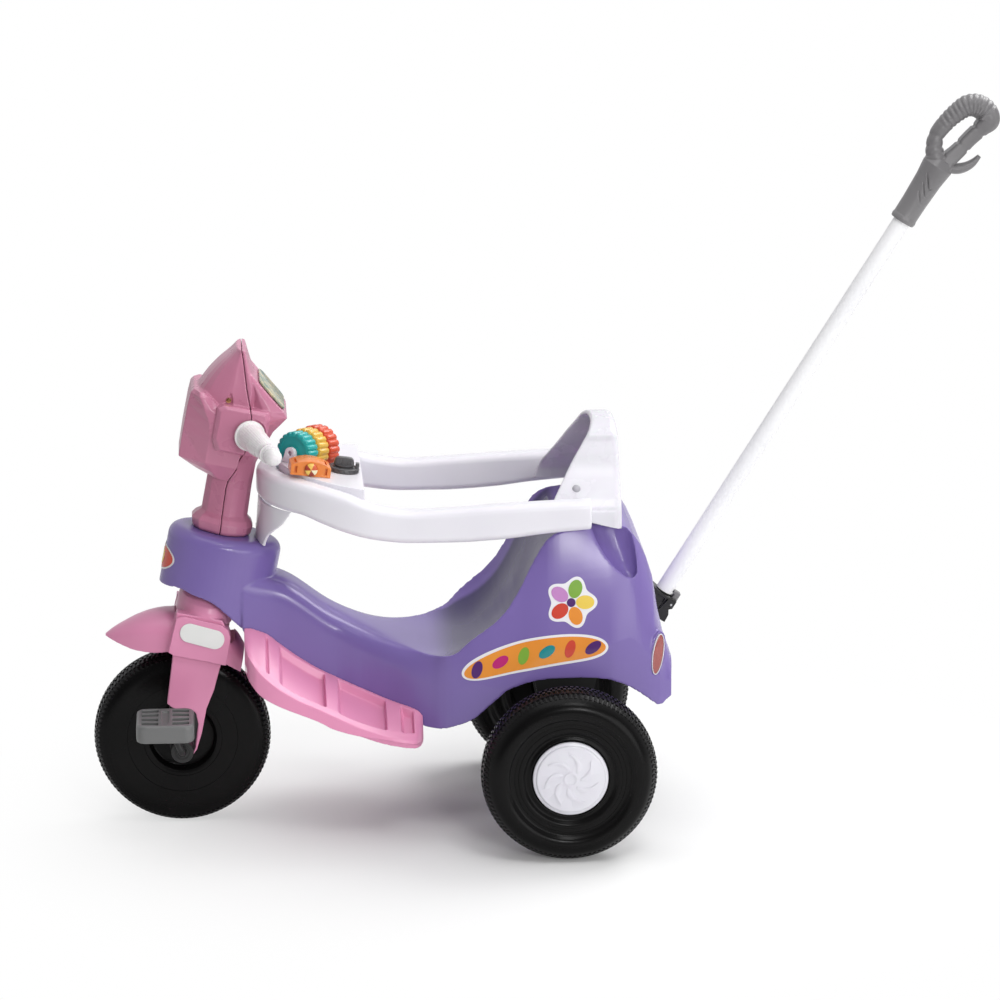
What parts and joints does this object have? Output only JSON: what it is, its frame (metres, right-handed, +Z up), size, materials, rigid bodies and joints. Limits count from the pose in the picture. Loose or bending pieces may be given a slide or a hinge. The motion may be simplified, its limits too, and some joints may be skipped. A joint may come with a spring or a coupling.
{
  "type": "ride-on push tricycle",
  "caption": "Toddler ride-on push tricycle with a pedalled front wheel, moulded saddle body, guard ring with backrest and play tray, footrests and a removable push handle.",
  "frame": {"origin": "centre of the bounding box, on the floor", "axes": "+X towards the rear of the tricycle (the push handle), +Y towards its right-hand side as the rider sits, +Z up"},
  "size_m": [1.1444, 0.447, 0.9252],
  "materials": {
    "purple_plastic": "glossy moulded plastic",
    "pink_plastic": "glossy moulded plastic",
    "white_plastic": "glossy moulded plastic with a faint lilac tint",
    "grey_plastic": "satin moulded plastic",
    "black_plastic": "satin moulded plastic",
    "tyre": "satin black blow-moulded plastic",
    "steel": "bright zinc plating",
    "painted_steel": "white powder coat",
    "red_lens": "glossy prismatic lens",
    "teal_plastic": "glossy moulded plastic",
    "yellow_plastic": "glossy moulded plastic",
    "red_plastic": "glossy moulded plastic",
    "orange_plastic": "glossy moulded plastic"
  },
  "bodies": {
    "chassis": {"body_shell": "purple_plastic", "lower_steering_bush": "black_plastic", "upper_steering_bush": "black_plastic", "rear_axle": "steel", "push_nut_left": "steel", "push_nut_right": "steel", "footrest_left": "pink_plastic", "footrest_right": "pink_plastic", "rear_reflector_left": "red_lens", "rear_reflector_right": "red_lens", "guard_ring": "white_plastic", "play_tray": "white_plastic", "front_support": "white_plastic", "backrest": "white_plastic", "handle_bracket": "black_plastic", "clip_pin": "steel", "roller_pin": "steel", "roller_post_left": "white_plastic", "roller_post_right": "white_plastic", "sounder_box": "orange_plastic", "key_base": "grey_plastic"},
    "steering": {"fork": "pink_plastic", "fork_bearing_left": "black_plastic", "fork_bearing_right": "black_plastic", "mudguard": "pink_plastic", "side_lens_left": "white_plastic", "side_lens_right": "white_plastic", "steering_stem": "steel", "handlebar": "steel", "grip_left": "white_plastic", "grip_right": "white_plastic", "head_front": "pink_plastic", "head_rear": "pink_plastic", "dash_plate": "teal_plastic"},
    "front_wheel": {"front_wheel": "tyre", "crank_axle": "steel", "crank_sleeve_left": "black_plastic", "crank_sleeve_right": "black_plastic"},
    "pedal_left": {"pedal_left": "grey_plastic"},
    "pedal_right": {"pedal_right": "grey_plastic"},
    "rear_wheel_left": {"rear_wheel_left": "tyre", "hubcap_left": "white_plastic"},
    "rear_wheel_right": {"rear_wheel_right": "tyre", "hubcap_right": "white_plastic"},
    "push_handle": {"push_tube": "painted_steel", "push_grip": "grey_plastic"},
    "release_clip": {"release_clip": "grey_plastic"},
    "roller_near": {"roller_band_near": "teal_plastic"},
    "roller_middle": {"roller_band_middle": "yellow_plastic"},
    "roller_far": {"roller_band_far": "red_plastic"},
    "dial_button": {"dial_button": "yellow_plastic"},
    "key_knob": {"key_knob": "grey_plastic"}
  },
  "joints": [
    {"name": "steering_turn", "type": "hinge", "parent": "chassis", "child": "steering", "pos_m": [-0.4597, 0, 0.1125], "axis": [0.1977, 0, 0.9803], "range_deg": [-35, 35]},
    {"name": "front_wheel_spin", "type": "hinge", "parent": "steering", "child": "front_wheel", "pos_m": [-0.4597, 0, 0.1125], "axis": [0, 1, 0], "continuous": true},
    {"name": "pedal_left_spin", "type": "hinge", "parent": "front_wheel", "child": "pedal_left", "pos_m": [-0.47995, -0.136, 0.16364], "axis": [0, 1, 0], "continuous": true},
    {"name": "pedal_right_spin", "type": "hinge", "parent": "front_wheel", "child": "pedal_right", "pos_m": [-0.43945, 0.136, 0.06136], "axis": [0, 1, 0], "continuous": true},
    {"name": "rear_wheel_left_spin", "type": "hinge", "parent": "chassis", "child": "rear_wheel_left", "pos_m": [0.0208, -0.1905, 0.11], "axis": [0, 1, 0], "continuous": true},
    {"name": "rear_wheel_right_spin", "type": "hinge", "parent": "chassis", "child": "rear_wheel_right", "pos_m": [0.0208, 0.1905, 0.11], "axis": [0, 1, 0], "continuous": true},
    {"name": "push_handle_slide", "type": "slide", "parent": "chassis", "child": "push_handle", "axis": [0.5284, 0, 0.849], "range_m": [0, 0.08]},
    {"name": "release_clip_press", "type": "hinge", "parent": "chassis", "child": "release_clip", "pos_m": [0.16505, 0, 0.2752], "axis": [0, 1, 0], "range_deg": [0, 25], "stiffness_Nm_per_rad": 0.05},
    {"name": "roller_near_spin", "type": "hinge", "parent": "chassis", "child": "roller_near", "pos_m": [-0.2964, 0.004, 0.48106], "axis": [0.6101, 0.788, -0.0824], "continuous": true},
    {"name": "roller_middle_spin", "type": "hinge", "parent": "chassis", "child": "roller_middle", "pos_m": [-0.2964, 0.004, 0.48106], "axis": [0.6101, 0.788, -0.0824], "continuous": true},
    {"name": "roller_far_spin", "type": "hinge", "parent": "chassis", "child": "roller_far", "pos_m": [-0.2964, 0.004, 0.48106], "axis": [0.6101, 0.788, -0.0824], "continuous": true},
    {"name": "dial_button_press", "type": "slide", "parent": "chassis", "child": "dial_button", "axis": [-0.0691, 0.9976, 0.0093], "range_m": [0, 0.003], "stiffness_N_per_m": 300},
    {"name": "key_turn", "type": "hinge", "parent": "chassis", "child": "key_knob", "pos_m": [-0.25248, -0.032, 0.46251], "axis": [0.1339, 0, 0.991], "range_deg": [-60, 60]}
  ]
}
